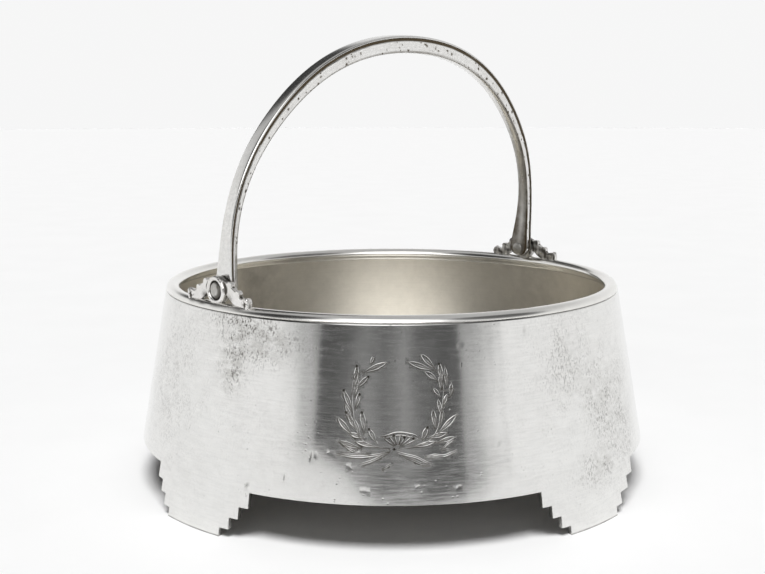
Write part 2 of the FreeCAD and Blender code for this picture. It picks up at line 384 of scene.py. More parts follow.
# Dents in the wall: s, z, half length, half width, depth, turn in degrees. Positive depth is inward.
DENTS = [
    (-21.4, 14.6, 1.0, 0.22, 0.10, 88), (-16.0, 19.4, 1.3, 0.30, 0.13, 84),
    (-15.0, 19.7, 1.0, 0.5, 0.05, 95), (-8.3, 17.8, 0.85, 0.40, 0.10, -38),
    (-5.1, 13.1, 1.15, 0.35, 0.08, -6), (5.0, 14.0, 0.6, 0.32, 0.07, 40),
    (13.0, 13.5, 0.7, 0.42, 0.10, 35), (-10.2, 41.0, 0.28, 0.28, 0.05, 0),
    (14.6, 41.8, 1.1, 0.9, 0.035, 20), (11.8, 29.0, 0.30, 0.30, 0.06, 0),
    (22.0, 21.6, 0.45, 0.18, 0.06, 80), (29.9, 43.4, 1.8, 0.25, 0.03, 86),
    (-29.7, 11.6, 0.9, 0.20, 0.10, 100), (-12.5, 20.4, 0.35, 0.2, 0.06, 40),
    (-25.5, 21.9, 0.4, 0.2, 0.06, 150), (-27.0, 27.0, 0.3, 0.2, 0.04, 30),
    (24.0, 33.0, 0.35, 0.25, 0.04, 30), (-19.0, 24.0, 0.3, 0.2, 0.05, 20),
]

# The engraved wreath. Each leaf: base s, base z, tip s, tip z, width.
STEM_LEFT = [
    (-0.4, 21.6), (-2.9, 22.0), (-5.4, 22.9), (-7.0, 25.1), (-7.6, 27.9), (-8.0, 31.0), (-8.0, 33.5),
    (-7.5, 35.8), (-6.0, 37.0),
]
STEM_RIGHT = [
    (0.6, 21.5), (4.1, 21.9), (7.1, 22.9), (8.9, 24.9), (9.9, 27.9), (10.4, 31.0), (10.6, 33.5),
    (9.9, 36.0), (8.9, 37.0),
]
LEAVES = [
    (-5.9, 36.6, -0.9, 38.8, 1.2), (-4.3, 38.3, -3.8, 39.9, 0.6), (-7.5, 33.8, -7.1, 38.1, 1.1),
    (-7.2, 33.5, -4.7, 36.0, 0.9), (-7.8, 28.6, -9.9, 33.2, 1.1), (-7.2, 29.4, -6.5, 32.8, 0.9),
    (-7.3, 26.1, -9.2, 28.7, 0.9), (-5.4, 24.7, -6.0, 29.1, 1.2), (-7.9, 24.2, -10.9, 27.6, 1.2),
    (-7.0, 25.3, -8.8, 28.1, 1.0), (-3.0, 22.9, -4.6, 25.6, 1.1), (-5.4, 23.6, -8.5, 24.6, 1.0),
    (-2.9, 21.9, -7.2, 22.9, 0.9), (-6.0, 21.5, -10.6, 22.9, 1.1), (-7.9, 26.9, -9.4, 30.2, 0.8),
    (-7.6, 31.6, -6.9, 35.4, 0.8), (-6.3, 24.0, -7.5, 27.4, 0.9), (10.0, 33.0, 10.0, 36.2, 0.8),
    (9.6, 26.0, 10.3, 29.2, 0.8), (8.6, 37.0, 3.3, 38.9, 1.2), (9.0, 37.3, 6.0, 40.4, 1.3),
    (9.5, 35.0, 6.8, 36.9, 1.1), (10.4, 34.4, 9.9, 38.5, 1.1), (11.3, 33.6, 11.1, 37.6, 0.8),
    (12.0, 31.6, 12.3, 34.3, 0.9), (9.9, 31.8, 8.5, 33.5, 0.8), (8.7, 25.4, 8.3, 29.3, 1.1),
    (6.0, 23.1, 7.1, 25.9, 1.1), (9.2, 24.4, 13.2, 28.1, 1.2), (7.1, 23.6, 11.1, 24.5, 1.1),
    (8.8, 22.6, 12.6, 23.6, 1.0), (4.1, 21.9, 8.7, 22.9, 0.9), (10.1, 27.8, 9.4, 31.3, 0.9),
    (10.4, 29.8, 11.3, 32.2, 0.8),
]
RIBBONS = [
    ([(-0.4, 20.9), (-3.9, 20.2), (-7.0, 19.9), (-10.9, 20.3)], 0.32),
    ([(-4.0, 20.5), (-7.4, 20.6), (-10.5, 20.6)], 0.20),
    ([(-1.0, 20.7), (-3.6, 19.3), (-6.1, 18.4)], 0.34), ([(-2.0, 19.9), (-4.2, 18.9), (-6.0, 18.3)], 0.18),
    ([(-1.7, 17.6), (-0.1, 18.6)], 0.22),
    ([(1.0, 21.0), (2.1, 20.6), (4.7, 19.9), (6.6, 18.9), (7.9, 18.4)], 0.32),
    ([(2.0, 20.3), (4.4, 19.2), (6.0, 18.5), (7.7, 18.4)], 0.18),
    ([(6.5, 19.8), (8.3, 20.2), (10.4, 20.0), (12.9, 20.9)], 0.34), ([(6.9, 19.9), (9.9, 19.7)], 0.2),
    ([(9.8, 21.1), (11.2, 22.4), (12.4, 23.2)], 0.26), ([(9.9, 21.4), (11.6, 21.0)], 0.22),
    ([(-10.3, 22.9), (-8.2, 21.3), (-6.9, 20.8)], 0.26),
]
FAN_CENTRE = (1.2, 21.6)
FAN_TIPS = [
    (-1.9, 24.0), (-0.7, 24.4), (0.5, 24.8), (1.9, 24.9), (3.2, 24.7), (4.4, 24.4), (5.5, 23.8),
]
DOTS = [
    (-7.2, 37.9), (-4.8, 35.8), (-9.8, 33.0), (-6.5, 32.3), (-9.2, 28.6), (-6.0, 28.7), (-4.5, 25.4),
    (0.4, 24.2), (0.5, 21.5), (9.8, 38.3), (7.1, 25.7), (2.5, 23.8), (4.3, 23.6),
]
CUT_SLOPE = 0.60


def curve_through(points, count):
    """Smooth line through the points (Catmull-Rom), count steps to each span."""
    p = np.array(points, float)
    p = np.vstack([2 * p[0] - p[1], p, 2 * p[-1] - p[-2]])
    out = []
    for i in range(1, len(p) - 2):
        for t in np.linspace(0, 1, count, endpoint=False):
            a, b, c, d = p[i - 1:i + 3]
            out.append(0.5 * (2 * b + (c - a) * t + (2 * a - 5 * b + 4 * c - d) * t * t
                              + (3 * b - a - 3 * c + d) * t ** 3))
    return np.array(out + [p[-2]])


def cut(points, width, blunt=0.15):
    """An engraver's cut: centre line and half width, swelling from its start and closing at its end."""
    t = np.linspace(0, 1, len(points))
    half = 0.5 * width * np.clip(np.sin(math.pi * np.clip(t, 0.0, 1.0)) ** 0.55, blunt, 1)
    return np.array(points), half


def wreath_cuts():
    cuts = []
    for stem in (STEM_LEFT, STEM_RIGHT):
        cuts.append(cut(curve_through(stem, 5), 0.15))
    for s0, z0, s1, z1, width in LEAVES:
        width = 0.74 * width
        base, tip = np.array((s0, z0)), np.array((s1, z1))
        along = tip - base
        side = np.array((-along[1], along[0])) / np.linalg.norm(along)
        for sign, thick in ((1, 0.21), (-1, 0.17)):
            belly = base + 0.5 * along + sign * 0.5 * width * side
            shoulder = base + 0.8 * along + sign * 0.34 * width * side
            cuts.append(cut(curve_through([base, belly, shoulder, tip], 4), thick))
        if np.linalg.norm(along) > 2.4:
            cuts.append(cut(curve_through([base + 0.15 * along, base + 0.72 * along], 4), 0.12))
            fleck = 0.16 * width * side
            ends = [base + 0.3 * along + fleck, base + 0.62 * along + fleck]
            cuts.append(cut(curve_through(ends, 4), 0.09))
    for points, width in RIBBONS:
        line = curve_through(points, 4)
        for offset in (-0.17, 0.17):
            cuts.append(cut(line + np.array((0.0, offset)), 0.62 * width))
    tips = curve_through(FAN_TIPS, 4)
    cuts.append(cut(tips, 0.24))
    cuts.append(cut(tips * 0.82 + np.array(FAN_CENTRE) * 0.18, 0.18))
    for tip in FAN_TIPS:
        start = np.array(FAN_CENTRE) * 0.75 + np.array(tip) * 0.25
        cuts.append(cut(curve_through([start, np.array(tip) * 0.92 + np.array(FAN_CENTRE) * 0.08], 4), 0.17))
    return cuts


CUTS = wreath_cuts()


def cut_depth(points):
    """Depth of the engraving at (s, z) points."""
    depth = np.zeros(len(points))
    for line, half in CUTS:
        low, high = line.min(0) - 0.4, line.max(0) + 0.4
        near = np.where(((points > low) & (points < high)).all(1))[0]
        if not len(near):
            continue
        p = points[near]
        best = np.zeros(len(near))
        for a, b, ha, hb in zip(line, line[1:], half, half[1:]):
            d = b - a
            t = np.clip(((p - a) @ d) / (d @ d), 0, 1)
            off = np.linalg.norm(p - (a + t[:, None] * d), axis=1)
            width = ha + t * (hb - ha)
            best = np.maximum(best, (width - off) * CUT_SLOPE)
        depth[near] = np.maximum(depth[near], best)
    for s, z in DOTS:
        off = np.hypot(points[:, 0] - s, points[:, 1] - z)
        depth = np.maximum(depth, np.clip(0.22 - off, 0, None) * 1.2)
    return depth


def wall_inward(s, z):
    """How far the outside is pressed in at (s, z): slow waves from raising the sheet, and dents."""
    angle = s / ARC_RADIUS
    r = wall_radius(z)
    points = np.stack([r * np.sin(angle), -r * np.cos(angle), z], -1)
    inward = 0.035 * (1 + ripple(points, 5, 34)) + 0.012 * (1 + ripple(points, 8, 13))
    inward = np.clip(inward, 0, None)
    for ds, dz, half_length, half_width, depth, turn in DENTS:
        c, w = cos_sin(turn)
        u = ((s - ds) * c + (z - dz) * w) / half_length
        v = (-(s - ds) * w + (z - dz) * c) / half_width
        inward = inward + 0.38 * depth * np.clip(1 - u * u - v * v, 0, 1) ** 1.8
    # The upper edge is turned over a little.
    inward = inward + 0.10 * share_of(z - (WALL_TOP - 0.19), 0.19) ** 2
    return inward


def wall_point(s, z, inward):
    angle = s / ARC_RADIUS
    r = wall_radius(z) - inward
    return np.stack([r * np.sin(angle), -r * np.cos(angle), z], -1)


PATCH_S = (-24.0, 16.8)
PATCH_Z = (11.0, 43.0)
FOOT_SHADOW_LINE = 0.35      # the painted shadow line along the bottom of each foot ends here


def foot_tiers():
    """Each tier of each foot: its ends in s, its top and its bottom."""
    degree = ARC_RADIUS * math.pi / 180
    for bearing in FOOT_BEARINGS:
        middle = (bearing + 270) % 360 - 180
        far_side = SLANTED_HALF_ANGLES if bearing == SLANTED_FOOT else FOOT_HALF_ANGLES
        for near, far, top, bottom in zip(FOOT_HALF_ANGLES, far_side, STEP_HEIGHTS, STEP_HEIGHTS[1:]):
            yield (middle - near) * degree, (middle + far) * degree, top, bottom


def build_wall():
    degree = ARC_RADIUS * math.pi / 180
    breaks_s = {-180 * degree, 180 * degree, *PATCH_S}
    for start, end, _, _ in foot_tiers():
        breaks_s |= {start, end}
    lines_s = steps(sorted(breaks_s), lambda s: 0.75 if abs(s) < 70 else 1.0)[:-1]
    breaks_z = sorted({*STEP_HEIGHTS, FOOT_SHADOW_LINE, *PATCH_Z, WALL_TOP - 0.55, WALL_TOP})
    lines_z = steps(breaks_z, lambda z: 0.19 if z > WALL_TOP - 0.5 else 0.8)
    count_s, count_z = len(lines_s), len(lines_z)
    after = np.r_[lines_s[1:], lines_s[0] + 360 * degree]
    mid_s = 0.5 * (lines_s + after)
    mid_z = 0.5 * (lines_z[1:] + lines_z[:-1])

    keep = np.zeros((count_s, count_z - 1), bool)
    keep[:, mid_z > APRON_HEIGHT] = True
    for start, end, top, bottom in foot_tiers():
        keep[np.ix_((mid_s > start) & (mid_s < end), (mid_z < top) & (mid_z > bottom))] = True
    patch = ((mid_s > PATCH_S[0]) & (mid_s < PATCH_S[1]))[:, None] & (
        (mid_z > PATCH_Z[0]) & (mid_z < PATCH_Z[1]))[None, :]

    grid_s, grid_z = np.meshgrid(lines_s, lines_z, indexing="ij")
    flat_s, flat_z = grid_s.ravel(), grid_z.ravel()
    outer = wall_point(flat_s, flat_z, wall_inward(flat_s, flat_z))
    inner = wall_point(flat_s, flat_z, np.full(len(flat_s), SHEET))
    verts = np.vstack([outer, inner])
    shift = len(outer)

    def number(i, j):
        return (i % count_s) * count_z + j

    faces, inside = [], []
    for i in range(count_s):
        for j in range(count_z - 1):
            if not keep[i, j]:
                continue
            a, b, c, d = number(i, j), number(i + 1, j), number(i + 1, j + 1), number(i, j + 1)
            if not patch[i, j]:
                faces.append((a, b, c, d))
                inside.append(False)
            faces.append((d + shift, c + shift, b + shift, a + shift))
            inside.append(True)
            for empty, p, q in (
                    (j == 0 or not keep[i, j - 1], b, a), (j == count_z - 2 or not keep[i, j + 1], d, c),
                    (not keep[(i - 1) % count_s, j], a, d), (not keep[(i + 1) % count_s, j], c, b)):
                if empty:
                    faces.append((p, q, q + shift, p + shift))
                    inside.append(False)

    patch_verts, patch_faces = build_patch(lines_s, lines_z)
    start = len(verts)
    verts = np.vstack([verts, patch_verts])
    faces += [tuple(start + k for k in f) for f in patch_faces]
    inside += [False] * len(patch_faces)
    return verts, faces, inside


def build_patch(lines_s, lines_z):
    """The engraved and dented part of the front, triangulated along every cut."""
    in_s = lines_s[(lines_s > PATCH_S[0] - 1e-6) & (lines_s < PATCH_S[1] + 1e-6)]
    in_z = lines_z[(lines_z > PATCH_Z[0] - 1e-6) & (lines_z < PATCH_Z[1] + 1e-6)]
    points, edges = [], []
    for line, half in CUTS:
        tangent = np.gradient(line, axis=0)
        tangent /= np.linalg.norm(tangent, axis=1)[:, None] + 1e-12
        side = np.stack([-tangent[:, 1], tangent[:, 0]], -1)
        for offset in (1, 0, -1):
            first = len(points)
            points.extend(line + offset * half[:, None] * side)
            edges.extend((first + k, first + k + 1) for k in range(len(line) - 1))
    for s, z in DOTS:
        points.append(np.array((s, z)))
        for radius in (0.12, 0.22, 0.32):
            for k in range(10):
                a = 2 * math.pi * k / 10
                points.append(np.array((s + radius * math.cos(a), z + radius * math.sin(a))))
    for ds, dz, half_length, half_width, depth, turn in DENTS:
        c, w = cos_sin(turn)
        for share in (0.0, 0.22, 0.45, 0.68, 0.88, 1.05):
            for k in range(1 if share == 0 else 16):
                a = 2 * math.pi * (k + 0.5 * share) / 16
                u, v = share * half_length * math.cos(a), share * half_width * math.sin(a)
                p = np.array((ds + u * c - v * w, dz + u * w + v * c))
                if (PATCH_S[0] + 0.05 < p[0] < PATCH_S[1] - 0.05
                        and PATCH_Z[0] + 0.05 < p[1] < PATCH_Z[1] - 0.05):
                    points.append(p)
    cut_points = np.array(points)
    background = np.array([(s, z) for s in in_s for z in in_z])
    border = ((background[:, 0] < in_s[0] + 1e-6) | (background[:, 0] > in_s[-1] - 1e-6)
              | (background[:, 1] < in_z[0] + 1e-6) | (background[:, 1] > in_z[-1] - 1e-6))
    far = np.array([np.min(np.hypot(*(cut_points - p).T)) > 0.16 for p in background])
    points.extend(background[border | far])
    verts2, _, faces, _, _, _ = delaunay_2d_cdt(
        [Vector((float(p[0]), float(p[1]))) for p in points], edges, [], 0, 1e-4)
    flat = np.array([(v.x, v.y) for v in verts2])
    inward = wall_inward(flat[:, 0], flat[:, 1]) + cut_depth(flat)
    return wall_point(flat[:, 0], flat[:, 1], inward), [tuple(f) for f in faces]


# Worn places on the wall: s, z, half length, half height, strength.
WORN = [(-33, 41, 7, 3.6, 1.0), (-26, 41, 5, 3.0, 0.9), (-36.8, 35.0, 3.2, 5.0, 1.1), (-36, 45, 9, 1.4, 0.7),
        (41, 36, 6, 8, 0.42), (52, 26, 6, 8, 0.75), (49, 12, 7, 3.5, 0.65), (62, 20, 6, 14, 0.5),
        (-60, 30, 12, 16, 0.35), (110, 30, 22, 12, 0.5), (-120, 24, 25, 12, 0.5), (175, 34, 22, 9, 0.45)]


def wall_wear(points):
    s, z = along_wall(points), points[:, 2]
    half_way = math.pi * ARC_RADIUS
    total = np.full(len(points), 0.06)
    for ws, wz, length, height, strength in WORN:
        gap = (s - ws + half_way) % (2 * half_way) - half_way
        total += strength * np.exp(-((gap / length) ** 2 + ((z - wz) / height) ** 2))
    return np.clip(total, 0, 1)


# Painted shade on the inside, dark bands at the two sides: s, half width, share.
PAINTED_SHADE_INSIDE = [(-137, 10, 0.50), (135, 13, 0.34)]


def wall_tarnish_and_shade(points):
    """Darkening share at each point of the wall. Outside: painted shade along the lower edge of each cut
    and in the dents, dark in the pricked dots, and a painted shadow line under the feet. Inside: painted
    shade at the two sides, and painted shade below the floor."""
    s = along_wall(points)
    flat = np.stack([s, points[:, 2]], -1)
    darkening = np.zeros(len(flat))
    for line, half in CUTS:
        low, high = line.min(0) - 0.4, line.max(0) + 0.4
        near = np.where(((flat > low) & (flat < high)).all(1))[0]
        for a, b, width in zip(line, line[1:], half):
            d = b - a
            gap = flat[near] - a
            t = gap @ d / (d @ d)
            side = (d[0] * gap[:, 1] - d[1] * gap[:, 0]) / np.linalg.norm(d)
            # Painted shade along the lower edge of each cut.
            shade = np.clip(1 - np.abs(side + np.sign(d[0] + 1e-9) * width) / 0.10, 0, 1)
            shade *= (t > -0.05) & (t < 1.05)
            darkening[near] = np.maximum(darkening[near], 1.15 * shade)
    # Painted shade in each dent, centred a little above the dent's middle.
    for ds, dz, half_length, half_width, depth, turn in DENTS:
        c, w = cos_sin(turn)
        up = points[:, 2] - dz - 0.25 * half_width
        off = np.hypot(((s - ds) * c + up * w) / half_length, (up * c - (s - ds) * w) / half_width)
        darkening = np.maximum(darkening, 8.0 * depth * np.clip(1 - off, 0, 1))
    for ds, dz in DOTS:
        darkening = np.maximum(darkening, 1.5 * share_of(0.34 - np.hypot(s - ds, points[:, 2] - dz), 0.10))
    outside = np.hypot(points[:, 0], points[:, 1]) > wall_radius(points[:, 2]) - 0.5
    # Painted shadow line along the bottom of each foot.
    darkening = np.maximum(darkening, share_of(FOOT_SHADOW_LINE - points[:, 2], 0.2))
    # Painted shade on the inside of the wall below the floor.
    under = 0.85 * share_of(FLOOR_TOP - 1.5 - points[:, 2], 0.5)
    # Painted shade in dark bands at the two sides of the inside.
    stain = sum(share * np.exp(-((s - at) / width) ** 2) for at, width, share in PAINTED_SHADE_INSIDE)
    return np.where(outside, np.clip(darkening, 0, 1.7), np.maximum(under, stain))


verts, faces, inside = build_wall()
wall = add_piece("wall_silver", verts, faces)
wall.data.materials.append(SILVER_WALL)
wall.data.materials.append(SILVER_INSIDE)
wall.data.polygons.foreach_set("material_index", np.array(inside, np.int32))
work = bmesh.new()
work.from_mesh(wall.data)
bmesh.ops.remove_doubles(work, verts=work.verts, dist=0.004 * MM)
bmesh.ops.delete(work, geom=[v for v in work.verts if not v.link_faces], context="VERTS")
corners = [e for e in work.edges if len(e.link_faces) == 2 and e.calc_face_angle(0) > math.radians(60)]
bmesh.ops.bevel(work, geom=corners, offset=0.14 * MM, segments=2, profile=0.6, affect="EDGES",
                clamp_overlap=True, material=-1)
work.to_mesh(wall.data)
work.free()
finish_mesh(wall, 14)
wall_places = np.array([v.co for v in wall.data.vertices]) / MM
put_attribute(wall, "wear", wall_wear(wall_places))
put_attribute(wall, "tarnish_and_shade", wall_tarnish_and_shade(wall_places))
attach(wall, "bowl")
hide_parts("bowl_wall")


# ---- rim and floor
def build_rim():
    inner = wall_radius(WALL_TOP) - SHEET
    outer_edge, inner_edge = RIM_RADIUS + RIM_HALF_WIDTH, RIM_RADIUS - RIM_HALF_WIDTH
    profile = placed(outer_edge, WALL_TOP, [(-0.42, -0.02), (-0.12, 0.10)])
    profile += round_points((RIM_RADIUS, WALL_TOP), RIM_HALF_WIDTH, 9, 171, 26)
    profile += placed(inner_edge, WALL_TOP, [(0.10, 0.08), (0.45, -0.02)])
    profile += placed(inner, WALL_TOP, [
        (-0.72, -0.05), (-0.60, -0.25), (-0.56, -0.7), (-0.50, -1.2), (-0.40, -1.5), (-0.18, -1.66),
        (0.10, -1.68), (0.1, -0.3)])
    return lathe(profile[::-1], 420)


points, faces = build_rim()
turn = np.hypot(points[:, 0], points[:, 1])
wobble = 0.03 * ripple(points, 21, 26) + 0.012 * ripple(points, 22, 7)
points[:, :2] *= (1 + (-0.04 + np.clip(wobble, -0.05, 0.04)) / turn)[:, None]
points[:, 2] -= 0.02 * (1 + ripple(points, 23, 30)) * (points[:, 2] > WALL_TOP + 0.2)
rim = add_piece("rim_silver", points, faces, "bowl", SILVER_RIM, 40)
seam = 0.8 * np.clip(1 - np.abs(points[:, 2] - WALL_TOP + 0.02) / 0.16, 0, 1)
# Painted shade on the rim's outside where each lug's foot stands on it, made patchy.
beside_lug = share_of(
    10.5 - np.abs(points[:, 1] * math.cos(BEARING) - points[:, 0] * math.sin(BEARING)), 1.5)
lug_foot_shade = (np.exp(-((points[:, 2] - 47.35) / 0.32) ** 2)
             * (np.hypot(points[:, 0], points[:, 1]) > RIM_RADIUS))
patchy = np.clip(0.6 + 0.6 * ripple(points, 25, 3), 0, 1)
put_attribute(rim, "tarnish_and_shade", np.clip(seam + 0.8 * beside_lug * lug_foot_shade * patchy, 0, 1))
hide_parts("rim_band")


def build_floor():
    under = FLOOR_TOP - FLOOR_THICKNESS

    def inner(z):
        return wall_radius(z) - SHEET

    edge = inner(FLOOR_TOP) - 0.05
    top = [(0.02, FLOOR_TOP - 0.35)]
    for share in np.linspace(0.03, 0.985, 60):
        # The floor is very slightly dished, and the polishing left shallow rings.
        top.append((edge * share, FLOOR_TOP - 0.35 * (1 - share ** 2) - 0.02 + 0.008 * math.sin(share * 90)))
    top += [(edge - 0.5, FLOOR_TOP - 0.01), (edge, FLOOR_TOP - 0.02)]
    low = FLOOR_BOX[0].z
    side = [(inner(low) - 0.03, low + 0.15), (inner(low) - 0.2, low + 0.02), (inner(low) - 0.9, low + 0.02),
            (inner(low) - 1.08, low + 0.2), (inner(under) - 1.3, under - 0.3), (inner(under) - 1.9, under)]
    bottom = [(edge * k, under + 0.05 * math.cos(k * 60)) for k in np.linspace(0.93, 0.03, 40)]
    bottom.append((0.02, under))
    return lathe((top + side + bottom)[::-1], 256)


points, faces = build_floor()
disc = add_piece("floor_disc", points, faces, "bowl", SILVER_INSIDE, 40)
# Painted shade on the underside of the floor.
put_attribute(disc, "tarnish_and_shade", 0.85 * share_of(FLOOR_TOP - 0.9 - points[:, 2], 0.2))
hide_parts("bowl_floor")


# ---- bail
def hermite_arch(reach, rise, count):
    """Leg and arch from the leg's foot to the crown, as (out from the axis, above the pivot) points."""
    p0, p1, p2 = (np.array(p, float) for p in ((reach, BAIL_SPRING), (0.78 * reach, 0.69 * rise), (0, rise)))
    h0, h1 = np.linalg.norm(p1 - p0), np.linalg.norm(p2 - p1)
    m0, m2 = 1.28 * np.array((0, 1.0)), 1.3 * np.array((-1.0, 0))
    m1 = (3 * ((p1 - p0) * h1 / h0 + (p2 - p1) * h0 / h1) - h1 * m0 - h0 * m2) / (2 * (h0 + h1))
    out = []
    for a, b, ma, mb, h, n in ((p0, p1, m0, m1, h0, count), (p1, p2, m1, m2, h1, int(count * 1.35))):
        for t in np.linspace(0, 1, n, endpoint=False):
            out.append((2 * t ** 3 - 3 * t ** 2 + 1) * a + (t ** 3 - 2 * t ** 2 + t) * h * ma
                       + (3 * t ** 2 - 2 * t ** 3) * b + (t ** 3 - t ** 2) * h * mb)
    return np.array(out + [p2])


def bail_half_width(w):
    """Half width at a height above the pivot: rounded end, hollow taper, then even."""
    if w < BAIL_SHOULDER:
        return math.sqrt(max(0.0, 3.116 ** 2 - (w - 0.916) ** 2))
    if w > BAIL_TAPER_TOP:
        return BAIL_HALF_WIDTH
    t = (w - BAIL_SHOULDER) / (BAIL_TAPER_TOP - BAIL_SHOULDER)
    return BAIL_HALF_WIDTH + 1.45 * (1 - t) ** 2.15


def bail_section():
    """Right half of the section, from the middle of the outer face to the middle of the inner face.

    Each point: share of the half width, distance in from the outer face, share of the thickness."""
    outer_face = [(0.0, 0.0), (0.30, 0.0), (0.60, 0.02), (0.76, 0.04), (0.84, 0.08), (0.90, 0.15),
                  (0.955, 0.25), (0.99, 0.36), (1.0, 0.45), (0.975, 0.51), (0.92, 0.56)]
    groove = [(0.87, 0.64), (0.855, 0.78), (0.86, 0.95), (0.88, 1.12), (0.915, 1.27), (0.95, 1.38)]
    rows = [(share, depth, 0) for share, depth in outer_face + groove]
    for t in np.linspace(0, 1, 7):
        rows.append((0.97 - 0.005 * t, 1.46 * (1 - t), 0.80 * t))
    rows += [(0.95, 0, 0.87), (0.88, 0, 0.925), (0.72, 0, 0.965), (0.55, 0, 0.982),
             (0.35, 0, 0.992), (0.16, 0, 0.998), (0.0, 0, 1.0)]
    return rows


def build_bail():
    outer = hermite_arch(BAIL_REACH, BAIL_RISE, 150)
    inner = hermite_arch(BAIL_REACH - BAIL_END_THICKNESS, BAIL_RISE - BAIL_TOP_THICKNESS, 150)
    tip = BAIL_END + 0.9 * (1 - np.cos(np.linspace(0.12, math.pi / 2, 10)))
    leg = np.r_[tip, np.arange(BAIL_END + 1.1, BAIL_SPRING - 0.1, 0.22)]
    outer = np.vstack([np.stack([np.full(len(leg), BAIL_REACH), leg], -1), outer])
    inner = np.vstack([np.stack([np.full(len(leg), BAIL_REACH - BAIL_END_THICKNESS), leg], -1), inner])
    outer = np.vstack([outer, (outer[:-1] * (-1, 1))[::-1]])
    inner = np.vstack([inner, (inner[:-1] * (-1, 1))[::-1]])
    middle = 0.5 * (outer + inner)
    length = np.r_[0, np.cumsum(np.linalg.norm(np.diff(middle, axis=0), axis=1))]
    half = bail_section()
    rows = half + [(-a, b, c) for a, b, c in half[-2:0:-1]]
    ring = len(rows)
    verts, grain = [], []
    for o, i, along in zip(outer, inner, length):
        inward = i - o
        thick = np.linalg.norm(inward)
        inward = inward / thick
        w = o[1] if o[1] < 40 else 40
        hw = bail_half_width(min(w, 0.5 * (o[1] + i[1])))
        near_end = share_of(o[1] - BAIL_END, 0.8)
        squeeze = math.sqrt(1 - (1 - near_end) ** 2)
        for a, b, c in rows:
            scale = thick / BAIL_TOP_THICKNESS if thick < 3.0 else 1.0
            depth = thick * c + b * min(1.0, 0.55 + 0.45 * scale)
            depth = min(depth, thick)
            depth = 0.5 * thick + (depth - 0.5 * thick) * squeeze
            place = o + inward * depth
            verts.append((place[0], a * hw, place[1]))
            grain.append((along, a * hw, depth))
    verts, grain = np.array(verts), np.array(grain)
    # Casting flaws on the side faces, and a slow unevenness from filing.
    rng = np.random.default_rng(11)
    side = np.abs(np.array([r[0] for r in rows] * len(outer))) > 0.93
    thick_here = np.repeat(np.linalg.norm(outer - inner, axis=1), ring)
    face = side & (grain[:, 2] > 1.12) & (grain[:, 2] < 0.90 * thick_here)
    sink = np.zeros(len(verts))
    for _ in range(260):
        at = rng.uniform(4, length[-1] - 4)
        deep = rng.uniform(1.1, 3.9)
        sign = rng.choice((-1, 1))
        radius = rng.uniform(0.12, 0.36)
        hit = face & (np.sign(grain[:, 1]) == sign)
        d2 = ((grain[:, 0] - at) / (radius * 1.3)) ** 2 + ((grain[:, 2] - deep) / radius) ** 2
        sink = np.where(hit, np.maximum(sink, rng.uniform(0.04, 0.11) * np.clip(1 - d2, 0, 1)), sink)
    pitted = np.clip(sink / 0.06, 0, 1)
    sink += np.where(face, 0.02 * (1 + ripple(grain, 31, 5)), 0)
    verts[:, 1] -= np.sign(verts[:, 1]) * sink
    wave = 0.018 * (1 + ripple(grain, 33, 16))
    verts[:, 1] -= np.sign(verts[:, 1]) * wave * (np.abs(verts[:, 1]) > 0.4)
    faces = []
    rings = len(outer)
    for k in range(rings - 1):
        for m in range(ring):
            n = (m + 1) % ring
            faces.append((k * ring + m, k * ring + n, (k + 1) * ring + n, (k + 1) * ring + m))
    ends = []
    for k in (0, rings - 1):
        centre = verts[k * ring:(k + 1) * ring].mean(0)
        centre[2] = BAIL_END + 0.002
        ends.append(len(verts) + len(ends))
        grain = np.vstack([grain, grain[k * ring:(k + 1) * ring].mean(0)])
        verts_end = centre if k == 0 else np.vstack([verts_end, centre])
    verts = np.vstack([verts, verts_end])
    for m in range(ring):
        n = (m + 1) % ring
        faces.append((ends[0], n, m))
        faces.append((ends[1], (rings - 1) * ring + m, (rings - 1) * ring + n))
    # Where the painted shade goes: the groove under the outer face, the corners and the inner face.
    groove = np.tile([math.exp(-((b - 0.88) / 0.36) ** 4) * (c == 0) for _, b, c in rows], rings)
    corner = np.tile([math.exp(-((c - 0.895) / 0.04) ** 2) for _, b, c in rows], rings)
    inner = np.tile([min(1.0, max(0.0, (c - 0.84) / 0.1)) for _, b, c in rows], rings)
    marks = np.stack([groove, corner, inner, pitted], -1)
    return verts, faces, grain, np.vstack([marks, np.zeros((2, 4))])


def bail_tarnish_and_shade(grain, marks):
    """Painted shade in the groove under the outer face, on the inner face with a painted lighter middle, and
    along the corners; dark in the pits.
    """
    along, across, _ = grain.T
    groove, corner, inner, pitted = marks.T
    patchy = np.clip(0.5 + 0.5 * ripple(grain * (1, 0, 0), 41, 24), 0, 1)
    # The painted shade on the inner face is stronger low on the legs.
    low = share_of(52 - np.minimum(along, along.max() - along), 34)
    # A painted lighter middle across the inner face.
    painted_lit_middle = 0.50 * np.exp(-((across + 0.25) / 0.85) ** 2)
    total = groove * (1.45 + 0.25 * patchy) + inner * low * (0.82 - painted_lit_middle + 0.12 * patchy)
    return np.clip(total + corner * (0.5 + 0.7 * patchy) + 1.4 * pitted, 0, 1.7)


def to_bail(points):
    """From the bail's own axes (along the pivot line, across, up) to the bowl's, leaning at rest."""
    turn = Matrix.Rotation(BEARING, 3, "Z") @ Matrix.Rotation(BAIL_LEAN, 3, "X")
    return np.asarray(points) @ np.array(turn).T + np.array((0, 0, PIVOT_HEIGHT))


verts, faces, grain, marks = build_bail()
bail = add_piece("bail_silver", to_bail(verts), faces, None, SILVER_BAIL, 38)
put_vector(bail, "grain", grain * MM)
put_attribute(bail, "tarnish_and_shade", bail_tarnish_and_shade(grain, marks))
face_outward(bail)
finish_mesh(bail, 38)
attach(bail, "bail")
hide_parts("bail_handle")


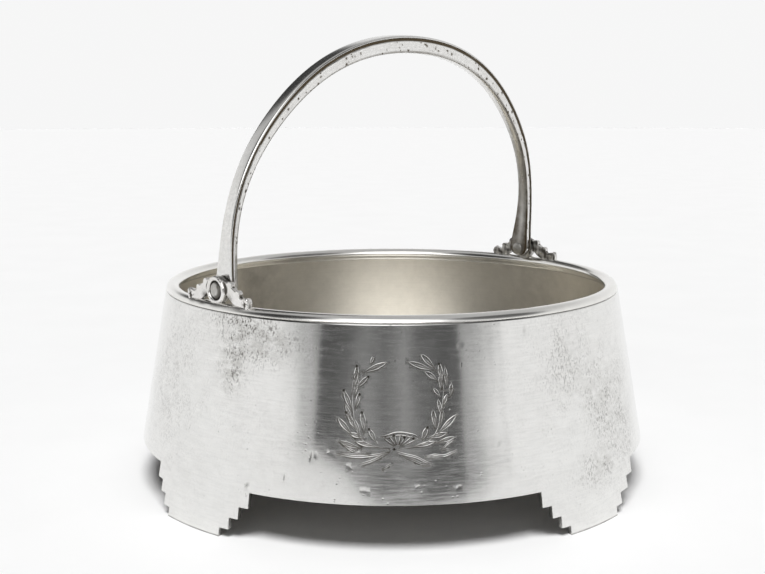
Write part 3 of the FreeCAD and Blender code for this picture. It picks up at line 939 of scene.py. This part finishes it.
# ---- lugs and pins
CREST = [(2.6, 0.6), (4.6, 1.5), (6.6, 2.7), (8.2, 3.9), (9.4, 3.7), (10.5, 3.7), (11.0, 4.7)]
LUG_TOP = PIVOT_HEIGHT + BOSS_RADIUS


def ball(centre, radius):
    work = bmesh.new()
    bmesh.ops.create_icosphere(work, subdivisions=2, radius=radius)
    points = np.array([v.co for v in work.verts]) + np.array(centre)
    faces = [tuple(v.index for v in f.verts) for f in work.faces]
    work.free()
    return points, faces


def slab(outline, low, high):
    """Closed slab over a polygon."""
    count = len(outline)
    verts = [(x, y, low) for x, y in outline] + [(x, y, high) for x, y in outline]
    faces = [tuple(range(count))[::-1], tuple(range(count, 2 * count))]
    faces += [(k, (k + 1) % count, (k + 1) % count + count, k + count) for k in range(count)]
    return np.array(verts, float), faces


def lug_parts():
    """Solids of one lug, drawn flat: x across, y above the table, z out from the lug's inner face."""
    parts = []
    foot = LUG_FOOT
    crest = curve_through([(0.0, 0.0)] + CREST, 6)
    for side in (-1, 1):
        top = [(side * x, LUG_TOP - d - 0.25) for x, d in crest]
        # A broad flat arm under the crest, open beneath it beside the boss, on a strip along the rim.
        arm = [p for p in top if abs(p[0]) > 2.0]
        beneath = (10.6, foot), (7.2, foot), (6.4, 47.5), (5.0, 48.3), (3.7, 49.4), (2.2, 50.2)
        under = [(side * x, y) for x, y in beneath]
        outline = arm + under
        parts.append(slab(outline if side > 0 else outline[::-1], 0.0, 1.28))
        base = [(0.0, foot), (side * 8.0, foot), (side * 8.0, 47.5), (side * 2.7, 47.45), (0.0, 47.6)]
        parts.append(slab(base if side > 0 else base[::-1], 0.0, 1.1))
        parts.append(ball((side * 10.15, LUG_TOP - 4.35, 0.95), 0.72))
        parts.append(ball((side * 10.45, LUG_TOP - 5.35, 1.0), 0.52))
        parts.append(ball((side * 9.15, LUG_TOP - 4.75, 0.85), 0.60))
        # Flat scallops along the crest.
        for x, down, radius in ((4.3, 1.75, 0.85), (7.0, 3.35, 0.80)):
            lobe = [(side * x + radius * math.cos(a), LUG_TOP - down + radius * math.sin(a))
                    for a in np.arange(16) * math.pi / 8]
            parts.append(slab(lobe, 0.0, 1.24))
        parts.append(ball((side * 10.2, 47.6, 0.9), 0.62))
    ring = [(0.02, 0.0), (3.1, 0.0), (3.15, 0.8)] + round_points((2.62, 1.42), 0.56, 0, 180, 10)
    ring += [(2.02, 1.25), (0.02, 1.20)]
    points, faces = lathe(ring, 48)
    parts.append((points + np.array((0, PIVOT_HEIGHT, 0)), faces))
    return parts


def joined(parts):
    verts, faces, start = [], [], 0
    for points, shapes in parts:
        verts.append(points)
        faces += [tuple(start + k for k in f) for f in shapes]
        start += len(points)
    return np.vstack(verts), faces


def to_lug(points, side):
    """From the flat drawing to its place; side is 1 for the back right lug and -1 for the front left."""
    x, y, z = np.asarray(points).T
    out = LUG_FACE + z
    c, s = math.cos(BEARING), math.sin(BEARING)
    return np.stack([side * (out * c - x * s), side * (out * s + x * c), y], -1)


def lug_recess(points):
    """Dark where the casting is low, partly tarnish and partly painted shade: round the boss, in the recess,
    at the windows and the foot.
    """
    x, y, z = np.abs(points[:, 0]), points[:, 1], points[:, 2]
    from_pin = np.hypot(x, y - PIVOT_HEIGHT)
    ditch = np.exp(-((from_pin - 3.45) / 0.28) ** 2) * share_of(1.6 - z, 0.6)
    cup = share_of(2.2 - from_pin, 0.3) * share_of(1.75 - z, 0.3)
    low = share_of(1.16 - z, 0.22) * share_of(z - 0.5, 0.3)
    foot = share_of(47.55 - y, 0.5) * share_of(z - 0.35, 0.3)
    back = share_of(0.25 - z, 0.2) * np.clip(0.55 + 0.75 * ripple(points, 61, 1.5), 0.1, 0.95)
    back = np.maximum(back, share_of(0.25 - z, 0.2) * share_of(47.7 - y, 0.4))
    tips = 0.55 * np.exp(-((x - 9.75) / 0.22) ** 2) * share_of(z - 0.7, 0.3)
    window = (np.exp(-((x - 4.4) / 1.0) ** 2 - ((y - 49.0) / 0.75) ** 2)
              * share_of(1.45 - z, 0.3) * share_of(z - 0.35, 0.3))
    return np.clip(ditch + cup + 0.25 * low + 0.7 * foot + window + back + tips, 0, 1)


def hollows(piece, rounds):
    """How far each vertex lies below the smoothed surface, in millimetres."""
    mesh = piece.data
    points = np.array([v.co for v in mesh.vertices])
    normals = np.array([v.normal for v in mesh.vertices])
    ends = np.array([e.vertices[:] for e in mesh.edges])
    count = np.bincount(ends.ravel(), minlength=len(points))[:, None]
    smooth = points
    for _ in range(rounds):
        total = np.zeros_like(points)
        np.add.at(total, ends[:, 0], smooth[ends[:, 1]])
        np.add.at(total, ends[:, 1], smooth[ends[:, 0]])
        smooth = total / count
    return np.einsum("ij,ij->i", smooth - points, normals)


def build_lug(name, side, seed):
    verts, faces = joined(lug_parts())
    piece = add_piece(name, verts / MM, faces)
    face_outward(piece)
    remesh = piece.modifiers.new("melt", "REMESH")
    remesh.mode = "VOXEL"
    remesh.voxel_size = 0.12
    smooth = piece.modifiers.new("soften", "SMOOTH")
    smooth.factor = 0.5
    smooth.iterations = 5
    apply_modifiers(piece)
    mesh = piece.data
    points = np.array([v.co for v in mesh.vertices])
    normals = np.array([v.normal for v in mesh.vertices])
    swell = 0.035 * ripple(points, seed, 1.7) + 0.02 * ripple(points, seed + 1, 0.8) - 0.02
    points += normals * swell[:, None]
    points[:, 2] = np.clip(points[:, 2], 0.0, None)
    # Painted shade in every hollow of the casting, on top of the marks above.
    recess = lug_recess(points) + np.clip(hollows(piece, 24) / 0.022 - 0.12, 0, 1)
    mesh.vertices.foreach_set("co", (to_lug(points, side) * MM).ravel())
    mesh.update()
    finish_mesh(piece, 60)
    mesh.materials.clear()
    mesh.materials.append(SILVER_CAST)
    put_attribute(piece, "tarnish_and_shade", np.clip(1.25 * recess, 0, 1.5))
    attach(piece, "bowl")
    return piece


for side, label in ((1, "right"), (-1, "left")):
    lug = build_lug("lug_" + label + "_cast", side, 50 + side)
    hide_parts("hinge_lug_" + label)


def build_pin():
    """Pin drawn along z from the lug's inner face: riveted end, shaft, head in the boss's recess."""
    seat = LUG_THICKNESS + BOSS_HEIGHT - BOSS_RECESS_DEPTH
    rivet = BAIL_REACH - BAIL_END_THICKNESS - 0.2 - LUG_FACE
    profile = placed(0, rivet, [
        (0.01, -0.36), (0.55, -0.35), (0.95, -0.31), (1.25, -0.23), (1.45, -0.12), (1.50, -0.05), (1.42, 0),
        (0.9, 0)])
    profile += placed(0, seat, [
        (0.9, 0), (1.55, 0), (1.70, 0.08), (1.75, 0.3), (1.73, 0.48), (1.62, 0.60), (1.35, 0.70),
        (0.9, 0.80), (0.45, 0.86), (0.01, 0.88)])
    points, faces = lathe(profile, 64)
    head = points[:, 2] > seat + 0.4
    tail = points[:, 2] < rivet - 0.1
    beat = ripple(points, 71, 1.1)
    points[:, 2] += np.where(head, 0.035 * (beat - 1), 0) + np.where(tail, 0.04 * (1 - beat), 0)
    return points + np.array((0, PIVOT_HEIGHT, 0)), faces


for side, label in ((1, "right"), (-1, "left")):
    points, faces = build_pin()
    pin = add_piece("pin_" + label + "_rivet", to_lug(points, side), faces, "bowl", SILVER_PIN, 40)
    edge = np.hypot(points[:, 0], points[:, 1] - PIVOT_HEIGHT)
    tail = points[:, 2] < 0
    # Painted shade: a crescent on one side of the head and a ring round its edge.
    crescent = np.hypot(points[:, 0] + 0.45, points[:, 1] - PIVOT_HEIGHT - 0.15)
    rough_face = 0.16 * (1 + ripple(points, 73, 0.9))
    ring = share_of(crescent - 1.45, 0.25) + share_of(edge - 1.62, 0.1)
    put_attribute(pin, "tarnish_and_shade", np.clip(np.where(tail, 0.45, 0.10 + rough_face + ring), 0, 1))
    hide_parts("hinge_pin_" + label)


# ---- table, light and camera
def emitter(name, tree_maker):
    material = bpy.data.materials.new(name)
    material.use_nodes = True
    tree = material.node_tree
    tree.nodes.clear()
    output = tree.nodes.new("ShaderNodeOutputMaterial")
    glow = tree.nodes.new("ShaderNodeEmission")
    tree.links.new(glow.outputs[0], output.inputs["Surface"])
    tree_maker(tree, glow)
    return material


def reflected_only(piece):
    piece.visible_camera = False
    piece.visible_diffuse = False
    piece.visible_shadow = False
    piece.visible_transmission = False
    piece.visible_volume_scatter = False


def make_table():
    points, faces = lathe([(0.5, 0.0), (300, 0.0), (1200, 0.0), (4000, 0.0)], 96, closed=False)
    points[:, 2] -= 0.02
    centre = len(points)
    points = np.vstack([points, (0, 0, -0.02)])
    faces = [f[::-1] for f in faces] + [(centre, i * 4, (i + 1) % 96 * 4) for i in range(96)]
    material, tree, shader = new_material("pale_table")
    at = object_place(tree)
    tone = ramp(tree, noise(tree, at, 30, detail=3),
                [(0.3, (0.885, 0.885, 0.885)), (0.7, (0.90, 0.90, 0.90))])
    tree.links.new(tone, shader.inputs["Base Color"])
    shader.inputs["Roughness"].default_value = 0.7
    shader.inputs["Specular IOR Level"].default_value = 0.0
    add_piece("table", points, faces, None, material, 30)


# The dark gap behind the camera: tone at each distance across, and the outline of its plane.
CARD_TONES = [
    (-420, 0.70), (-340, 0.66), (-300, 0.56), (-232, 0.37), (-222, 0.36), (-214, 0.075), (-160, 0.075),
    (-120, 0.12), (-75, 0.22), (-52, 0.20), (-20, 0.12), (12, 0.17), (33, 0.215), (55, 0.17),
    (80, 0.12), (110, 0.10), (150, 0.085), (198, 0.10), (206, 0.30), (265, 0.42), (345, 0.60),
    (430, 0.72),
]
CARD_OUTLINE = [
    (-420, 26), (-230, 30), (-204, 33), (-147, 28), (-104, 22), (-52, 14), (20, 10), (121, 10),
    (215, 12), (430, 15), (430, 158), (-420, 158),
]
CARD_SPAN = 900.0
CARD_DISTANCE = 300       # in front of the wall


def card_tree(tree, glow):
    """Glow of the dark gap, seen only in the silver."""
    at = object_place(tree)
    parts = node(tree, "SeparateXYZ", {"Vector": at})
    across = times_plus(tree, parts.outputs["X"], 1 / (CARD_SPAN * MM), 0.5)
    tones = ramp(tree, across, [(0.5 + x / CARD_SPAN, tone) for x, tone in CARD_TONES])
    high = times(tree, parts.outputs["Z"], 8.0)
    fade = ramp(tree, high, [(0.12, 0.9), (0.30, 1.35), (0.55, 1.3), (0.80, 1.0)])
    veil = ramp(tree, noise(tree, at, 26, (1, 1, 1), 3), [(0.30, 0.80), (0.70, 1.20)])
    both = darken(tree, fade, veil)
    tree.links.new(darken(tree, tones, both), glow.inputs["Color"])


def make_card():
    front = -APRON_RADIUS - CARD_DISTANCE
    verts = [(x, front, z) for x, z in CARD_OUTLINE]
    outline = tuple(range(len(CARD_OUTLINE)))
    card = add_piece("dark_gap", verts, [outline], None, emitter("dark_gap", card_tree), 30)
    reflected_only(card)


# Dark and bright places in the room above: direction, cosines where each is fullest and where it ends, gain.
PLACES = [((0.70, -0.36, 0.62), 0.975, 0.88, 0.20), ((-0.70, -0.36, 0.62), 0.975, 0.86, 0.06),
          ((-0.40, 0.62, 0.62), 0.965, 0.90, 0.08), ((-0.17, -0.80, 0.60), 0.93, 0.80, 3.1)]


DIFFUSE_CUT = 0.83        # share of the world's light kept off diffuse surfaces


def make_world():
    """Pale studio: bright near the horizon and softer overhead, with the room's dark places."""
    world = bpy.data.worlds.new("studio")
    SCENE.world = world
    world.use_nodes = True
    tree = world.node_tree
    back = tree.nodes["Background"]
    way = node(tree, "TexCoord").outputs["Generated"]
    height = node(tree, "SeparateXYZ", {"Vector": way}).outputs["Z"]
    up = times_plus(tree, height, 0.5, 0.5)
    sky = ramp(tree, up, [(0.0, 0.925), (0.58, 0.925), (0.72, 0.80), (0.86, 0.55), (1.0, 0.45)])
    for way_to, near, far, gain in PLACES:
        toward = node(tree, "VectorMath", {0: way, 1: Vector(way_to).normalized()}, operation="DOT_PRODUCT")
        share = ramp(tree, toward.outputs["Value"], [(far, 0.0), (near, 1.0)], "EASE")
        factor = times_plus(tree, share, gain - 1, 1.0)
        sky = darken(tree, sky, factor)
    tree.links.new(sky, back.inputs["Color"])
    # The table gets most of its light from the lamp, so that its shadows have an edge.
    diffuse = node(tree, "LightPath").outputs["Is Diffuse Ray"]
    strength = times_plus(tree, diffuse, -DIFFUSE_CUT, 1.0)
    tree.links.new(strength, back.inputs["Strength"])


SUN_ENERGY = 3.1
SUN_SPREAD = math.radians(28)
SUN_TILT = math.radians(20)


def make_lights():
    sun = bpy.data.lights.new("softbox", "SUN")
    sun.energy = SUN_ENERGY
    sun.angle = SUN_SPREAD
    lamp = bpy.data.objects.new("softbox", sun)
    lamp.rotation_euler = (SUN_TILT, 0, 0)
    lamp.visible_glossy = False
    SCENE.collection.objects.link(lamp)


CAMERA_PITCH, CAMERA_PAN = 0.160, -0.008     # radians
CAMERA_BACK, CAMERA_HEIGHT = 0.28173, 0.09047
CAMERA_LENS = 53.647


def make_camera():
    pitch, pan = CAMERA_PITCH, CAMERA_PAN
    forward = Vector((0, math.cos(pitch), -math.sin(pitch)))
    right = Vector((1, 0, 0))
    up = right.cross(forward)
    ahead = forward * math.cos(pan) + right * math.sin(pan)
    side = right * math.cos(pan) - forward * math.sin(pan)
    camera = bpy.data.cameras.new("camera")
    camera.lens = CAMERA_LENS
    camera.sensor_width = 36.0
    camera.clip_start = 0.01
    camera.clip_end = 50
    holder = bpy.data.objects.new("camera", camera)
    holder.matrix_world = Matrix((
        (side.x, up.x, -ahead.x, 0), (side.y, up.y, -ahead.y, -CAMERA_BACK),
        (side.z, up.z, -ahead.z, CAMERA_HEIGHT), (0, 0, 0, 1)))
    SCENE.collection.objects.link(holder)
    SCENE.camera = holder


make_table()
make_card()
make_world()
make_lights()
make_camera()
SCENE.view_settings.view_transform = "Standard"
SCENE.view_settings.look = "None"
